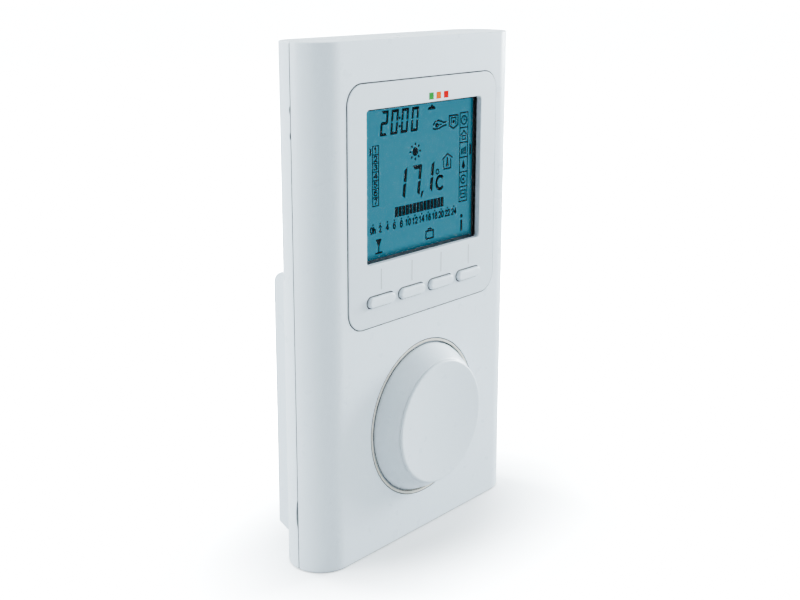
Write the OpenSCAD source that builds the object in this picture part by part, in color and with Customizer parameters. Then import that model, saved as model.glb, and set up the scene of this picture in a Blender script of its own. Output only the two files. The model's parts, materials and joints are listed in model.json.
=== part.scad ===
// Wall-mounted programmable heating timer and room thermostat.
// Millimetres. +Z is up, the front faces -Y, and the origin is the middle of the
// bottom of the whole object. Lengths along Y below are measured from the parting
// plane between the front shell and the back cover: minus is towards the user.

/* [Body] */
// Width of the housing
body_w = 81; // [80:0.5:86]
// Height of the housing
body_h = 135; // [134:0.5:142]
// Depth of the front shell, which is also its corner radius
front_d = 8.6; // [8.4:0.1:8.8]
// Depth of the back cover, which is also its corner radius
cover_d = 8.9; // [8.8:0.1:9.6]
// Wall thickness of both shells
wall = 2; // [1.9:0.05:2.1]
// Width of the groove along the parting line
seam_gap = 0.3; // [0.2:0.05:0.4]

/* [Display and fascia] */
// Width of the raised fascia
fascia_w = 60.2; // [59.5:0.1:61]
// Height of the raised fascia
fascia_h = 61.6; // [61:0.1:62.4]
// Height of the fascia's middle above the bottom
fascia_z = 93.8; // [93.6:0.1:94.2]
// Corner radius of the fascia
fascia_r = 5.2; // [3.5:0.1:6]
// How far the fascia stands proud of the front shell
fascia_proud = 0.2; // [0.1:0.05:0.5]
// Width of the display window
window_w = 46.6; // [45.5:0.1:47]
// Height of the display window
window_h = 39.1; // [38.5:0.1:39.5]
// Height of the window's middle above the bottom
window_z = 98.65; // [98.4:0.05:98.9]

/* [Keys] */
// Length of a key
key_w = 10.1; // [9.6:0.1:10.3]
// Height of a key
key_h = 2.7; // [2.5:0.05:2.8]
// Distance between neighbouring keys
key_pitch = 12.17; // [12.1:0.01:12.3]
// Height of the row of keys above the bottom
key_z = 69.5; // [69.2:0.1:69.8]
// How far a key stands proud of the fascia
key_proud = 1; // [0.8:0.05:1.1]

/* [Knob] */
// Height of the knob's axis above the bottom
knob_z = 32.7; // [32.2:0.1:32.9]
// Radius of the knob at its skirt
knob_r = 20.5; // [20.2:0.1:20.8]
// Radius of the knob's front face
knob_face_r = 16.9; // [16:0.1:17]
// How far the knob stands proud of the front shell
knob_proud = 6.3; // [6:0.1:6.6]
// Radius of the round recess that the knob sits in
recess_r = 21.9; // [21.8:0.1:22]
// Depth of that recess
recess_d = 1.6; // [1.55:0.05:1.7]

/* [Wall bracket] */
// Width of the bracket
bracket_w = 70; // [69:0.5:71]
// Height of the bracket
bracket_h = 71; // [70:0.5:72]
// How far the bracket's back is behind the back cover
bracket_d = 4; // [3.8:0.1:4.4]
// Height of the bracket's lower edge above the bottom
bracket_z = 6; // [5.8:0.1:6.2]
// Distance between opposite wall screws
wall_screw_pitch = 60; // [59.5:0.1:60]

/* [Hidden] */
$fn = 72;
eps = 0.01;

// The parting plane's place: the whole object is centred front to back.
seam_y = (knob_proud + front_d - cover_d - bracket_d) / 2;

// Depths along Y, from the parting plane.
front_y = -front_d;
inner_front_y = front_y + wall;
inner_rear_y = cover_d - wall;
fascia_front_y = front_y - fascia_proud;
pocket_y = front_y + 1.5;
fascia_gap = 0.3;
backing_y = pocket_y + 1.3;
lens_front_y = fascia_front_y + 1.5;
lens_t = 0.6;
gasket_y = lens_front_y + lens_t;
gasket_t = 0.2;
lcd_y = gasket_y + gasket_t;
lcd_t = 2.4;
backlight_y = lcd_y + lcd_t;
backlight_t = 2.2;
holder_front_y = backing_y + 0.1;
pcb_y = 0.6;
pcb_t = 1.6;
pcb_back_y = pcb_y + pcb_t;
recess_floor_y = front_y + recess_d;

// Display stack sizes.
lens_w = window_w + 4;
lens_h = window_h + 4;
view_w = window_w - 1.4;
view_h = window_h - 1.2;
lcd_w = 54;
lcd_h = 46;
backlight_h = 39;
zebra_z = lcd_h / 2 - 1.3;
zebra_w = 50;
zebra_h = 2;

// Knob and encoder.
skirt_y = front_y + 0.6;
knob_face_y = front_y - knob_proud;
knob_face_t = 1.8;
knob_boss_y = front_y - 1.3;
shaft_r = 3;
shaft_tip_y = knob_face_y + 1.3;
bushing_tip_y = front_y - 0.2;
encoder_y = -4.5;
encoder_t = 5;
encoder_wall = 0.6;
plunger_y = -2.7;
plunger_t = 1.7;
stub_r = 1.5;
running_fit = 0.03;

// Keys and switches.
key_x = [for (i = [0:3]) (i - 1.5) * key_pitch];
key_gap = 0.3;
flange_y = backing_y + 0.3;
flange_t = 0.8;
switch_t = 3.4;
switch_y = pcb_y - switch_t;
tip_y = switch_y - 1.25;

// Batteries, size AAA, upright on both sides of the encoder.
cell_r = 5.25;
cell_l = 44.5;
nub_r = 1.9;
nub_l = 1.2;
cell_x = 28.9;
cell_y = 1.3;
bay_z = 10.9;
bay_l = 47.6;
bay_half_w = 5.6;
bay_wall = 0.8;
cell_z = bay_z + (bay_l - cell_l) / 2;
contact_w = 4;
contact_t = 0.4;

// Screws.
case_screw_x = 30;
case_screw_z = [6.5, body_h - 6.5];
screw_seat_y = 4;
pcb_screw_at = [[32, 121.5], [32, 65], [18, 16.5]];

// Wall bracket.
bracket_front_y = cover_d + 0.15;
bracket_back_y = cover_d + bracket_d;
bracket_mid_z = bracket_z + bracket_h / 2;
bracket_plate = 1.8;
tab_x = 12;
tab_z = [12, 70];
tab_w = 8;
tab_t = 1.6;
slot_w = 4.2;
slot_l = 6.4;

// Colours.
white = [0.88, 0.91, 0.92];
inner_white = [0.80, 0.81, 0.80];
beige = [0.80, 0.76, 0.68];
black = [0.06, 0.06, 0.07];
steel = [0.72, 0.73, 0.75];
board_green = [0.08, 0.35, 0.20];

// ---------------------------------------------------------------- helpers

// Moves a piece drawn about the parting plane to its place.
module at_seam() {
    translate([0, seam_y, 0]) children();
}

// Sweeps an outline drawn in X and Z from y0 back to y1.
module slab(y0, y1) {
    translate([0, y1, 0]) rotate([90, 0, 0]) linear_extrude(y1 - y0) children();
}

// A round bar along Y.
module rod(r, y0, y1, x = 0, z = 0) {
    translate([x, y1, z]) rotate([90, 0, 0]) cylinder(r = r, h = y1 - y0);
}

// A box given by its lowest and highest corners.
module block(lo, hi) {
    translate(lo) cube(hi - lo);
}

module rounded_rect(w, h, r) {
    square([w - 2 * r, h], center = true);
    square([w, h - 2 * r], center = true);
    for (x = [-1, 1], z = [-1, 1])
        translate([x * (w / 2 - r), z * (h / 2 - r)]) circle(r = r);
}

// A bar with round ends, lying along X.
module pill(w, h) {
    square([w - h, h], center = true);
    for (x = [-1, 1]) translate([x * (w - h) / 2, 0]) circle(r = h / 2);
}

// One half of the housing seen from above: flat, with round corners.
// side is -1 for the front half and 1 for the back half.
module half_plan(half_w, r, side) {
    low = side < 0 ? -r : 0;
    translate([r - half_w, low]) square([2 * (half_w - r), r]);
    for (x = [-1, 1])
        intersection() {
            translate([x * (half_w - r), 0]) circle(r = r, $fn = 144);
            translate([x < 0 ? -half_w - 1 : half_w - r, low]) square([r + 1, r]);
        }
}

// A hollow half housing of the shells' wall thickness.
module half_shell(r, side) {
    difference() {
        linear_extrude(body_h) half_plan(body_w / 2, r, side);
        translate([0, 0, wall]) linear_extrude(body_h - 2 * wall)
            half_plan(body_w / 2 - wall, r - wall, side);
    }
}

// An upright rectangular frame inside the housing, inset from its outside.
module inner_frame(inset, t, y0, y1) {
    w = body_w - 2 * inset;
    h = body_h - 2 * inset;
    translate([0, 0, body_h / 2]) slab(y0, y1) difference() {
        square([w, h], center = true);
        square([w - 2 * t, h - 2 * t], center = true);
    }
}

// A shallow lens-shaped cut along the parting line, for a chord and a depth.
module seam_cut(z, chord, depth) {
    r = (chord * chord / 4 + depth * depth) / (2 * depth);
    for (x = [-1, 1])
        translate([x * (body_w / 2), seam_gap / 2 + depth - r, z])
            rotate([0, 90, 0]) cylinder(r = r, h = 2, center = true, $fn = 120);
}

module at_case_screws() {
    for (x = [-1, 1], z = case_screw_z) translate([x * case_screw_x, 0, z]) children();
}

module at_pcb_screws() {
    for (x = [-1, 1], p = pcb_screw_at) translate([x * p[0], 0, p[1]]) children();
}

// ---------------------------------------------------------------- housing

module front_shell() {
    color(white) at_seam() difference() {
        union() {
            half_shell(front_d, -1);
            translate([0, 0, fascia_z]) slab(inner_front_y - eps, backing_y)
                rounded_rect(fascia_w + 3.8, fascia_h + 4, fascia_r + 1);
            rod(recess_r + 2, inner_front_y - eps, recess_floor_y + wall, 0, knob_z);
            at_case_screws() rod(2.75, inner_front_y - eps, -seam_gap / 2);
            at_pcb_screws() rod(2.2, inner_front_y - eps, pcb_y);
        }
        difference() {
            block([-body_w, -seam_gap / 2, -1], [body_w, wall, body_h + 1]);
            at_pcb_screws() rod(2.2, -1, pcb_y);
        }
        translate([0, 0, fascia_z]) slab(front_y - 1, pocket_y)
            rounded_rect(fascia_w + 2 * fascia_gap, fascia_h + 2 * fascia_gap, fascia_r + fascia_gap);
        translate([0, 0, window_z]) slab(front_y, backing_y + 1)
            square([lcd_w + 1, lcd_h + 1], center = true);
        for (x = key_x) translate([x, 0, key_z]) slab(front_y, backing_y + 1)
            pill(key_w + 2 * key_gap + 0.2, key_h + 2 * key_gap + 0.2);
        rod(recess_r, front_y - 1, recess_floor_y, 0, knob_z);
        rod(3.7, front_y, 0, 0, knob_z);
        at_case_screws() rod(1.2, -4.2, 1);
        at_pcb_screws() rod(0.95, -3.4, 1);
    }
}

// The trough that holds one battery, open to the rear.
module battery_bay(x) {
    w = bay_half_w + bay_wall;
    block([x - w, cell_y - cell_r - 0.9, bay_z - 1], [x + w, inner_rear_y + eps, bay_z + bay_l + 1]);
}

module battery_space(x) {
    block([x - bay_half_w, cell_y - cell_r - 0.1, bay_z], [x + bay_half_w, cover_d + 1, bay_z + bay_l]);
}

// Lets the contact strips out of a bay through its inner side.
module contact_notches(side) {
    reach = cell_x - bay_half_w;
    y0 = cell_y - contact_w / 2 - 0.2;
    y1 = cell_y + contact_w / 2 + 0.2;
    for (z = [bay_z, bay_z + bay_l - 1])
        translate([side * reach - 1.5, y0, z]) cube([3, y1 - y0, 1]);
}

module back_cover() {
    vents = 9;
    vent_pitch = 5;
    color(white) at_seam() difference() {
        union() {
            difference() {
                half_shell(cover_d, 1);
                block([-body_w, -1, -1], [body_w, seam_gap / 2, body_h + 1]);
            }
            inner_frame(wall + 0.4, 1, -1.7, 1.2);
            inner_frame(wall - 0.8, 2.2, seam_gap / 2, 1.2);
            for (x = [-1, 1]) battery_bay(x * cell_x);
            at_case_screws() rod(3, 0.3, inner_rear_y + eps);
        }
        for (x = [-1, 1]) {
            battery_space(x * cell_x);
            contact_notches(x);
        }
        at_case_screws() {
            rod(1.4, 0, cover_d + 1);
            rod(2.6, screw_seat_y, cover_d + 1);
        }
        for (x = [-1, 1], z = tab_z)
            block([x * tab_x - tab_w / 2 - 0.3, inner_rear_y - 1, z - tab_t / 2 - 0.3],
                  [x * tab_x + tab_w / 2 + 0.3, cover_d + 1, z + tab_t / 2 + 0.3]);
        for (i = [0:vents - 1])
            block([(i - (vents - 1) / 2) * vent_pitch - 0.8, 2.4, -1],
                  [(i - (vents - 1) / 2) * vent_pitch + 0.8, inner_rear_y, wall + 0.2]);
        seam_cut(15.3, 8.2, 0.55);
        seam_cut(112.85, 1.9, 0.3);
        seam_cut(119, 2.3, 0.3);
    }
}

// The thin trim ring that lies in the recess round the knob.
module recess_ring() {
    color(beige) at_seam() difference() {
        rod(recess_r - 0.25, front_y + 0.1, recess_floor_y, 0, knob_z);
        rod(recess_r - 0.85, front_y, recess_floor_y + 1, 0, knob_z);
    }
}

module display_fascia() {
    color(white) at_seam() difference() {
        translate([0, 0, fascia_z]) slab(fascia_front_y, pocket_y)
            rounded_rect(fascia_w, fascia_h, fascia_r);
        translate([0, 0, window_z]) slab(fascia_front_y - 1, pocket_y + 1)
            rounded_rect(window_w, window_h, 1);
        translate([0, 0, window_z]) slab(lens_front_y, pocket_y + 1)
            rounded_rect(lens_w + 0.2, lens_h + 0.2, 1);
        translate([0, 0, window_z]) slab(gasket_y, pocket_y + 1)
            square([lcd_w + 0.6, lcd_h + 0.6], center = true);
        for (x = key_x) translate([x, 0, key_z]) slab(fascia_front_y - 1, pocket_y + 1)
            pill(key_w + 2 * key_gap, key_h + 2 * key_gap);
    }
}

module display_lens() {
    color([0.80, 0.88, 0.92, 0.35]) at_seam() translate([0, 0, window_z])
        slab(lens_front_y, gasket_y) rounded_rect(lens_w, lens_h, 0.9);
}

module display_gasket() {
    color(black) at_seam() translate([0, 0, window_z]) slab(gasket_y, lcd_y) difference() {
        square([lens_w, lens_h], center = true);
        square([view_w, view_h], center = true);
    }
}

// ---------------------------------------------------------------- display

module lcd_cell() {
    color([0.26, 0.56, 0.66]) at_seam() translate([0, 0, window_z]) {
        slab(lcd_y, lcd_y + lcd_t / 2) square([lcd_w, lcd_h], center = true);
        slab(lcd_y + lcd_t / 2, lcd_y + lcd_t) square([lcd_w, lcd_h - 0.6], center = true);
    }
}

module backlight_panel() {
    color([0.75, 0.90, 0.98]) at_seam() translate([0, 0, window_z])
        slab(backlight_y, backlight_y + backlight_t) square([lcd_w - 2, backlight_h], center = true);
}

module lcd_holder() {
    ledge_y = backlight_y + backlight_t;
    color(inner_white) at_seam() translate([0, 0, window_z]) difference() {
        slab(holder_front_y, pcb_y) rounded_rect(lcd_w + 4, lcd_h + 4.5, 1);
        slab(holder_front_y - 1, ledge_y) square([lcd_w + 0.6, lcd_h + 0.6], center = true);
        slab(ledge_y - 1, pcb_y + 1) square([lcd_w - 6, backlight_h - 3], center = true);
        for (z = [-1, 1]) translate([0, 0, z * zebra_z]) slab(ledge_y - 1, pcb_y + 1)
            square([zebra_w + 0.4, zebra_h + 0.4], center = true);
    }
}

module zebra_strips() {
    color([0.30, 0.30, 0.32]) at_seam() for (z = [-1, 1])
        translate([0, 0, window_z + z * zebra_z]) slab(backlight_y, pcb_y)
            square([zebra_w, zebra_h], center = true);
}

module backlight_leds() {
    color([0.95, 0.95, 0.80]) at_seam() for (x = [-12, 0, 12])
        translate([x, 0, window_z]) {
            slab(pcb_y - 0.7, pcb_y) square([3.5, 2.8], center = true);
            rod(1.1, pcb_y - 1.0, pcb_y - 0.7);
        }
}

// ---------------------------------------------------------------- circuit board

module main_pcb() {
    color(board_green) at_seam() difference() {
        slab(pcb_y, pcb_back_y) {
            translate([-35, 61.5]) square([70, 63.7]);
            translate([-20.5, 13]) square([41, 49]);
        }
        at_pcb_screws() rod(1.1, 0, 3);
        for (x = [-2.5, 0, 2.5]) rod(0.5, 0, 3, x, knob_z - 7.5);
        for (x = [-2.5, 2.5]) rod(0.5, 0, 3, x, knob_z + 7);
    }
}

module microcontroller() {
    lead_pitch = 1.2;
    color(black) at_seam() translate([6, 0, 98]) {
        slab(pcb_back_y + 0.2, pcb_back_y + 1.6) square([12, 12], center = true);
        for (i = [-4:4], s = [-1, 1]) {
            slab(pcb_back_y, pcb_back_y + 0.8) translate([i * lead_pitch, s * 6.4])
                square([0.4, 1.6], center = true);
            slab(pcb_back_y, pcb_back_y + 0.8) translate([s * 6.4, i * lead_pitch])
                square([1.6, 0.4], center = true);
        }
    }
}

// A small radio board with its screening can.
module radio_module() {
    color(steel) at_seam() translate([-20, 0, 106]) {
        slab(pcb_back_y, pcb_back_y + 0.8) square([17, 22], center = true);
        slab(pcb_back_y + 0.8, pcb_back_y + 3) rounded_rect(14, 15, 1);
    }
}

// A wire aerial along the left edge of the board, held off it by two legs.
module antenna() {
    wire_r = 0.4;
    wire_x = -33;
    wire_y = pcb_y - 1.6;
    color(steel) at_seam() {
        translate([wire_x, wire_y, 70]) cylinder(r = wire_r, h = 47);
        for (z = [70, 117]) {
            translate([wire_x, wire_y, z]) sphere(r = wire_r);
            rod(wire_r, wire_y, pcb_y, wire_x, z);
        }
    }
}

module quartz_crystal() {
    color(steel) at_seam() translate([20, 0, 98]) {
        slab(pcb_back_y, pcb_back_y + 0.4) pill(11, 4.6);
        slab(pcb_back_y + 0.4, pcb_back_y + 3) pill(10, 3.6);
    }
}

module capacitors() {
    color([0.25, 0.28, 0.45]) at_seam() for (p = [[22, 114], [29, 114], [22, 82]])
        translate([p[0], 0, p[1]]) {
            slab(pcb_back_y, pcb_back_y + 0.5) square([5, 5], center = true);
            rod(2.2, pcb_back_y + 0.5, pcb_back_y + 4);
        }
}

// A bead thermistor on two legs at the cool lower end of the board.
module temperature_sensor() {
    color([0.75, 0.45, 0.15]) at_seam() {
        translate([11, pcb_back_y + 2.4, 22]) sphere(r = 1.2);
        for (x = [10.4, 11.6]) rod(0.25, pcb_back_y, pcb_back_y + 2.2, x, 22);
    }
}

module tact_switches() {
    color([0.15, 0.15, 0.16]) at_seam() for (x = key_x) translate([x, 0, key_z])
        difference() {
            slab(switch_y, pcb_y) square([6, 6], center = true);
            rod(2, switch_y - 1, switch_y + 1.5);
        }
}

module switch_plunger(i) {
    color([0.9, 0.9, 0.88]) at_seam() rod(1.7, tip_y, switch_y + 0.6, key_x[i - 1], key_z);
}

// ---------------------------------------------------------------- keys

module button(i) {
    color(white) at_seam() translate([key_x[i - 1], 0, key_z]) {
        slab(fascia_front_y - key_proud, flange_y + eps) pill(key_w, key_h);
        slab(flange_y, flange_y + flange_t) rounded_rect(key_w + 1.5, key_h + 1.7, 0.8);
        rod(1.6, flange_y + flange_t - eps, tip_y - 0.1);
    }
}

// ---------------------------------------------------------------- knob and encoder

module encoder_body() {
    color([0.20, 0.22, 0.24]) at_seam() difference() {
        union() {
            translate([0, 0, knob_z]) slab(encoder_y, encoder_y + encoder_t) square([12, 12], center = true);
            for (x = [-2.5, 0, 2.5])
                block([x - 0.3, 0, knob_z - 7.8], [x + 0.3, pcb_back_y + 1, knob_z - 7.2]);
            for (x = [-2.5, 2.5])
                block([x - 0.3, 0, knob_z + 6.7], [x + 0.3, pcb_back_y + 1, knob_z + 7.3]);
            block([-3, 0, knob_z - 7.8], [3, encoder_y + encoder_t, knob_z + 7.3]);
        }
        rod(shaft_r + running_fit, encoder_y - 1, encoder_y + 1, 0, knob_z);
        rod(4.5, encoder_y + encoder_wall, encoder_y + encoder_t - encoder_wall, 0, knob_z);
    }
}

module encoder_bushing() {
    color(steel) at_seam() difference() {
        rod(3.5, bushing_tip_y, encoder_y, 0, knob_z);
        rod(shaft_r + running_fit, bushing_tip_y - 1, encoder_y + 1, 0, knob_z);
    }
}

module encoder_plunger() {
    color([0.85, 0.80, 0.65]) at_seam() difference() {
        rod(4.2, plunger_y, plunger_y + plunger_t, 0, knob_z);
        rod(stub_r + running_fit, plunger_y - 1, plunger_y + plunger_t + 1, 0, knob_z);
    }
}

module encoder_shaft() {
    flat_x = 1.5;
    shoulder_y = plunger_y - 0.1;
    color(steel) at_seam() {
        difference() {
            rod(shaft_r, shaft_tip_y, shoulder_y, 0, knob_z);
            block([flat_x, shaft_tip_y - 1, knob_z - 4], [4, knob_boss_y + 0.2, knob_z + 4]);
        }
        rod(stub_r, shoulder_y - eps, plunger_y + plunger_t - 0.2, 0, knob_z);
    }
}

// Half section of the knob: radius across, height above its skirt upwards.
module knob_section() {
    height = skirt_y - knob_face_y;
    edge_r = 1.2;
    shelf = height - knob_face_t;
    lip = 1.5;
    difference() {
        union() {
            polygon([[0, 0], [knob_r, 0], [knob_r, 0.8], [knob_face_r + 0.35, height - edge_r],
                     [knob_face_r - edge_r, height], [0, height]]);
            translate([knob_face_r - edge_r + 0.2, height - edge_r]) circle(r = edge_r);
        }
        polygon([[0, -1], [knob_r - lip, -1], [knob_r - lip, 0.6],
                 [knob_face_r - lip - 0.4, shelf], [0, shelf]]);
        translate([-5, 0]) square([5, height + 1]);
    }
}

module knob() {
    boss_r = 5;
    flat_x = 1.5;
    height = skirt_y - knob_face_y;
    color(white) at_seam() difference() {
        union() {
            translate([0, skirt_y, knob_z]) rotate([90, 0, 0]) rotate_extrude($fn = 144) knob_section();
            rod(boss_r, knob_face_y + knob_face_t - eps, knob_boss_y, 0, knob_z);
            translate([0, 0, knob_z]) for (a = [0:60:300]) rotate([0, a, 0])
                block([6.4, knob_face_y + knob_face_t - eps, -0.5], [15.4, knob_boss_y - 1.2, 0.5]);
        }
        difference() {
            rod(shaft_r + 0.02, shaft_tip_y - 0.1, knob_boss_y + 1, 0, knob_z);
            block([flat_x + 0.02, shaft_tip_y - 1, knob_z - 4], [4, knob_boss_y + 2, knob_z + 4]);
        }
    }
}

// A split steel ring that squeezes the knob's boss onto the shaft.
module knob_clip() {
    color(steel) at_seam() difference() {
        rod(5.7, knob_boss_y - 2.7, knob_boss_y - 0.4, 0, knob_z);
        rod(5.02, knob_boss_y - 3, knob_boss_y, 0, knob_z);
        block([-8, knob_boss_y - 3, knob_z - 0.8], [0, knob_boss_y, knob_z + 0.8]);
    }
}

// ---------------------------------------------------------------- power

// A cell standing upright; up is 1 with its positive end up and -1 with it down.
module battery(x, up) {
    color([0.20, 0.35, 0.55]) at_seam() translate([x, cell_y, cell_z + cell_l / 2])
        mirror([0, 0, up < 0 ? 1 : 0]) {
            translate([0, 0, -cell_l / 2]) cylinder(r = cell_r, h = cell_l - nub_l);
            translate([0, 0, cell_l / 2 - nub_l - eps]) cylinder(r = nub_r, h = nub_l + eps);
        }
}

// A contact strip's bent end seen from the front. It lies on z = 0 around x = 0
// and presses upwards: a single peak for a cell's base, a flat hat for its nub.
module contact_peak() {
    t = contact_t;
    top = cell_z - bay_z;
    polygon([[-5, 0], [-3.4, 0], [0, top - t], [3.4, 0], [5, 0],
             [5, t], [3.6, t], [0.3, top], [-0.3, top], [-3.6, t], [-5, t]]);
}

module contact_hat() {
    t = contact_t;
    top = cell_z - bay_z;
    polygon([[-5, 0], [-2.6, 0], [-1.6, top - t], [1.6, top - t], [2.6, 0], [5, 0],
             [5, t], [3, t], [2, top], [-2, top], [-3, t], [-5, t]]);
}

module contact_sweep() {
    slab(cell_y - contact_w / 2, cell_y + contact_w / 2) children();
}

// A contact at the top of one bay, with its tail up to the board.
module top_contact(side) {
    tail_x = cell_x - bay_half_w - bay_wall - 0.8;
    top_z = bay_z + bay_l;
    color(steel) at_seam() mirror([side < 0 ? 1 : 0, 0, 0]) {
        translate([cell_x, 0, top_z]) mirror([0, 0, 1]) contact_sweep() children();
        contact_sweep() translate([tail_x, top_z - contact_t])
            square([cell_x - 4 - tail_x, contact_t]);
        contact_sweep() translate([tail_x, top_z - contact_t])
            square([contact_t, 61.5 - top_z + contact_t]);
    }
}

module positive_contact() {
    top_contact(-1) contact_hat();
}

module negative_contact() {
    top_contact(1) contact_peak();
}

// The strip below both cells that joins them in series.
module bridge_contact() {
    reach = cell_x - 4;
    color(steel) at_seam() contact_sweep() {
        translate([-reach, bay_z]) square([2 * reach, contact_t]);
        translate([-cell_x, bay_z]) contact_peak();
        translate([cell_x, bay_z]) contact_hat();
    }
}

// ---------------------------------------------------------------- fasteners

// A pan-head screw along Y: head from y back, shank forward to tip.
module screw(shank_r, head_r, head_t, y, tip) {
    difference() {
        union() {
            rod(head_r, y, y + head_t);
            rod(shank_r, tip, y + eps);
        }
        slab(y + head_t - 0.6, y + head_t + 1) {
            square([head_r * 1.3, 0.6], center = true);
            square([0.6, head_r * 1.3], center = true);
        }
    }
}

module case_screws() {
    color(steel) at_seam() at_case_screws() screw(1.2, 2.2, 1.6, screw_seat_y, -4);
}

module pcb_screws() {
    color(steel) at_seam() at_pcb_screws() screw(0.95, 1.8, 1.2, pcb_back_y, -3);
}

// ---------------------------------------------------------------- wall bracket

// Side view of the bracket: round above, bevelled below.
module bracket_side() {
    round_r = 3.4;
    depth = bracket_back_y - bracket_front_y;
    difference() {
        union() {
            square([depth, bracket_h - round_r]);
            square([depth - round_r, bracket_h]);
            translate([depth - round_r, bracket_h - round_r]) intersection() {
                circle(r = round_r);
                square(round_r);
            }
        }
        polygon([[0.5, -eps], [depth + eps, 1.7], [depth + eps, -1], [0.5, -1]]);
    }
}

module wall_bracket() {
    rim = 1.8;
    color(white) at_seam() difference() {
        union() {
            difference() {
                translate([-bracket_w / 2, bracket_front_y, bracket_z]) rotate([90, 0, 90])
                    linear_extrude(bracket_w) bracket_side();
                block([rim - bracket_w / 2, bracket_front_y - 1, bracket_z + rim],
                      [bracket_w / 2 - rim, bracket_back_y - bracket_plate, bracket_z + bracket_h - rim]);
            }
            for (x = [-1, 1], z = tab_z)
                block([x * tab_x - tab_w / 2, inner_rear_y - 2, z - tab_t / 2],
                      [x * tab_x + tab_w / 2, bracket_back_y - bracket_plate + eps, z + tab_t / 2]);
        }
        translate([0, 0, bracket_mid_z]) for (s = [-1, 1], turn = [0, 90])
            slab(bracket_front_y, bracket_back_y + 1) rotate(turn)
                translate([s * wall_screw_pitch / 2, 0]) pill(slot_l, slot_w);
    }
}

// ---------------------------------------------------------------- nodes

front_shell();
back_cover();
recess_ring();
display_fascia();
display_lens();
display_gasket();
lcd_cell();
backlight_panel();
lcd_holder();
zebra_strips();
backlight_leds();
main_pcb();
microcontroller();
radio_module();
antenna();
quartz_crystal();
capacitors();
tact_switches();
encoder_body();
encoder_bushing();
encoder_plunger();
encoder_shaft();
knob();
knob_clip();
button(1);  // button_1
button(2);  // button_2
button(3);  // button_3
button(4);  // button_4
switch_plunger(1);  // switch_plunger_1
switch_plunger(2);  // switch_plunger_2
switch_plunger(3);  // switch_plunger_3
switch_plunger(4);  // switch_plunger_4
battery(-cell_x, 1);  // battery_1
battery(cell_x, -1);  // battery_2
positive_contact();
negative_contact();
bridge_contact();
temperature_sensor();
case_screws();
pcb_screws();
wall_bracket();
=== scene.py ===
"""Visual model of a wall-mounted programmable heating timer and room thermostat.

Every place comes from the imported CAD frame. Lengths are written in millimetres
and turned into metres with MM. The front faces -Y and +Z is up.
"""

import json
import math

import bmesh
import bpy
from mathutils import Matrix, Vector


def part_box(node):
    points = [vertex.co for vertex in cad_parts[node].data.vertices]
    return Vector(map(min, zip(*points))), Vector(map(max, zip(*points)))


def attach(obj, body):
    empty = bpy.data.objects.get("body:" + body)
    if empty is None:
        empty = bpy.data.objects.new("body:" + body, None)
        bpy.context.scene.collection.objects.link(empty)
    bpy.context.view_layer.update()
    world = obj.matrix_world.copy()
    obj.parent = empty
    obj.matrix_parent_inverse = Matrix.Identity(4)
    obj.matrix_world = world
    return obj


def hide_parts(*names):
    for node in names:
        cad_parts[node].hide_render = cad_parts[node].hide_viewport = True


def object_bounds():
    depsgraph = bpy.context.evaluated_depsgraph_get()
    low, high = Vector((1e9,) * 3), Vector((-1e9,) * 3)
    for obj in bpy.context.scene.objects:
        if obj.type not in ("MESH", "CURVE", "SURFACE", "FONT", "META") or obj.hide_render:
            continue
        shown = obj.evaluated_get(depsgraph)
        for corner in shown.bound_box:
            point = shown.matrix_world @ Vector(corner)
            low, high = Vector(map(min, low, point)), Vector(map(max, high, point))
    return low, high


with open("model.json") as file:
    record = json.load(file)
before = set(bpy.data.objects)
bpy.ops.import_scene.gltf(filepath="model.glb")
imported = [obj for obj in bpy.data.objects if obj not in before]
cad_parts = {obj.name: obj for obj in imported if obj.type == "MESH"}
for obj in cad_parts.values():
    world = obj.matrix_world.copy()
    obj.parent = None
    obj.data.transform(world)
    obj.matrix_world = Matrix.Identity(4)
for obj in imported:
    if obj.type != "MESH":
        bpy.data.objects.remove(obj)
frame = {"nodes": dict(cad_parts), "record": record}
cad_lo, cad_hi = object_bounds()
nodes = frame["nodes"]
MM = 0.001

# ------------------------------------------------------------------ places

shell_lo, shell_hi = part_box("front_shell")
cover_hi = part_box("back_cover")[1]
fascia_lo, fascia_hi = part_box("display_fascia")
lcd_lo, lcd_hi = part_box("lcd_cell")
knob_lo, knob_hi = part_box("knob")
ring_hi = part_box("recess_ring")[1]

HEIGHT = shell_hi.z
HALF_W = shell_hi.x
FRONT_Y = shell_lo.y
FASCIA_Y = fascia_lo.y
WINDOW_Z = (lcd_lo.z + lcd_hi.z) / 2
KNOB_Z = (knob_lo.z + knob_hi.z) / 2
KNOB_R = knob_hi.x
NEAR = 0.01 * MM

# ------------------------------------------------------------------ camera

CAMERA_AT = Vector((-240.29, -202.16, 151.92)) * MM
YAW, PITCH, ROLL = (math.radians(a) for a in (49.754, 13.698, 0.142))
FOCAL_IN_WIDTHS = 1201.1 / 800
SHIFT_Y = -0.05


def add_camera():
    data = bpy.data.cameras.new("camera")
    data.sensor_width = 36
    data.lens = FOCAL_IN_WIDTHS * data.sensor_width
    data.shift_y = SHIFT_Y
    data.clip_start, data.clip_end = 0.01, 20
    flat = math.cos(PITCH)
    ahead = Vector((math.sin(YAW) * flat, math.cos(YAW) * flat, -math.sin(PITCH)))
    level = ahead.cross(Vector((0, 0, 1))).normalized()
    above = level.cross(ahead)
    right = level * math.cos(ROLL) + above * math.sin(ROLL)
    up = above * math.cos(ROLL) - level * math.sin(ROLL)
    camera = bpy.data.objects.new("camera", data)
    bpy.context.scene.collection.objects.link(camera)
    camera.matrix_world = Matrix((
        (right.x, up.x, -ahead.x, CAMERA_AT.x),
        (right.y, up.y, -ahead.y, CAMERA_AT.y),
        (right.z, up.z, -ahead.z, CAMERA_AT.z),
        (0, 0, 0, 1),
    ))
    bpy.context.scene.camera = camera


add_camera()

# ------------------------------------------------------------------ materials


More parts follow.
